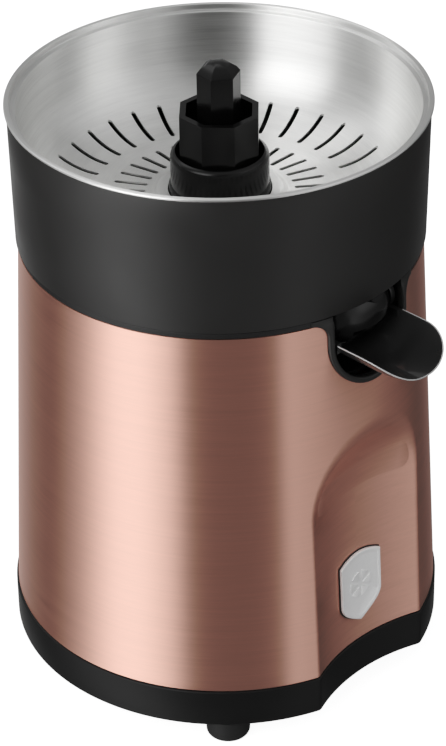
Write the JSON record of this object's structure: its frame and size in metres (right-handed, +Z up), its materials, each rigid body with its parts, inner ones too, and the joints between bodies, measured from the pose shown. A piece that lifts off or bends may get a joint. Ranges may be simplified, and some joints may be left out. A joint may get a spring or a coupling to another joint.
{
  "type": "citrus press juicer",
  "caption": "Round citrus juicer: brushed rose-gold body with a glass recess, black juice collector, tilting spout, slotted strainer bowl and driven spindle.",
  "frame": {"origin": "bottom centre of the overall bounding box, on the plane the feet stand on", "axes": "+Z up, -Y the way the spout points, +X to the right of the spout seen from behind the machine"},
  "size_m": [0.1756, 0.1952, 0.261],
  "materials": {
    "rose_metal": "rose-gold sheet metal, brushed round the body",
    "black_plastic": "satin black moulding",
    "gloss_black": "polished black moulding",
    "rubber": "matt black rubber",
    "stainless": "concentrically brushed stainless sheet",
    "silver": "satin silver plating",
    "steel": "plain steel",
    "bronze": "sintered bronze",
    "copper": "enamelled copper",
    "grey_plastic": "matt grey moulding",
    "white_plastic": "matt white moulding",
    "red_plastic": "matt red moulding",
    "gear_plastic": "natural acetal",
    "magnet": "ferrite",
    "carbon": "pressed carbon"
  },
  "bodies": {
    "housing": {"housing_skin": "rose_metal", "base_ring": "black_plastic", "bottom_cover": "black_plastic", "foot_front_right": "rubber", "foot_rear_right": "rubber", "foot_rear_left": "rubber", "foot_front_left": "rubber", "cover_screw_1": "steel", "cover_screw_2": "steel", "cover_screw_3": "steel", "cover_screw_4": "steel", "upper_chassis": "black_plastic", "spout_bezel": "black_plastic", "badge_frame": "black_plastic", "badge_plate": "silver", "cord_inlet_bush": "rubber", "terminal_block": "white_plastic", "gear_case": "grey_plastic", "gear_case_cover": "grey_plastic", "case_screw_1": "steel", "case_screw_2": "steel", "case_screw_3": "steel", "case_screw_4": "steel", "upper_shaft_bush": "bronze", "lower_shaft_bush": "bronze", "shaft_seal": "rubber", "idler_axle": "steel", "motor_can": "steel", "motor_end_cap": "grey_plastic", "motor_bush_upper": "bronze", "motor_bush_lower": "bronze", "motor_magnet_left": "magnet", "motor_magnet_right": "magnet", "motor_brush_left": "carbon", "motor_brush_right": "carbon", "motor_screw_1": "steel", "motor_screw_2": "steel", "switch_body": "black_plastic"},
    "thrust": {"thrust_cup": "gear_plastic", "return_spring": "steel"},
    "drive": {"drive_shaft": "steel", "drive_spindle": "gloss_black", "spindle_cross_pin": "steel", "output_gear": "gear_plastic", "retaining_ring": "steel"},
    "idler": {"idler_gear": "gear_plastic"},
    "rotor": {"motor_shaft": "steel", "armature_core": "steel", "winding_upper": "copper", "winding_lower": "copper", "commutator": "copper", "motor_pinion": "bronze"},
    "switch_button": {"switch_plunger": "red_plastic"},
    "collector": {"juice_collector": "black_plastic", "juice_nozzle": "black_plastic", "spout_pivot_pin_left": "steel", "spout_pivot_pin_right": "steel"},
    "spout": {"tilting_spout": "gloss_black"},
    "strainer": {"strainer_bowl": "stainless"}
  },
  "joints": [
    {"name": "drive_press", "type": "slide", "parent": "housing", "child": "thrust", "axis": [0, 0, -1], "range_m": [0, 0.0025], "stiffness_N_per_m": 4000, "springref_m": -0.002, "deforming": ["return_spring"]},
    {"name": "drive_spin", "type": "hinge", "parent": "thrust", "child": "drive", "pos_m": [0, 0.00976, 0.18], "axis": [0, 0, 1], "continuous": true},
    {"name": "idler_spin", "type": "hinge", "parent": "housing", "child": "idler", "pos_m": [0, 0.05477, 0.17], "axis": [0, 0, 1], "continuous": true},
    {"name": "motor_spin", "type": "hinge", "parent": "housing", "child": "rotor", "pos_m": [-0.025, 0.03818, 0.14], "axis": [0, 0, 1], "continuous": true},
    {"name": "switch_press", "type": "slide", "parent": "housing", "child": "switch_button", "axis": [0, 0, -1], "range_m": [0, 0.0025]},
    {"name": "collector_lift", "type": "slide", "parent": "housing", "child": "collector", "axis": [0, 0, 1], "range_m": [0, 0.08]},
    {"name": "bowl_lift", "type": "slide", "parent": "collector", "child": "strainer", "axis": [0, 0, 1], "range_m": [0, 0.065]},
    {"name": "spout_tilt", "type": "hinge", "parent": "collector", "child": "spout", "pos_m": [0, -0.05883, 0.1815], "axis": [-1, 0, 0], "range_deg": [0, 38]}
  ],
  "couplings": [
    {"joint": "drive_spin", "follows": "motor_spin", "ratio": 0.05},
    {"joint": "idler_spin", "follows": "motor_spin", "ratio": -0.25},
    {"joint": "switch_press", "follows": "drive_press", "ratio": 1}
  ]
}
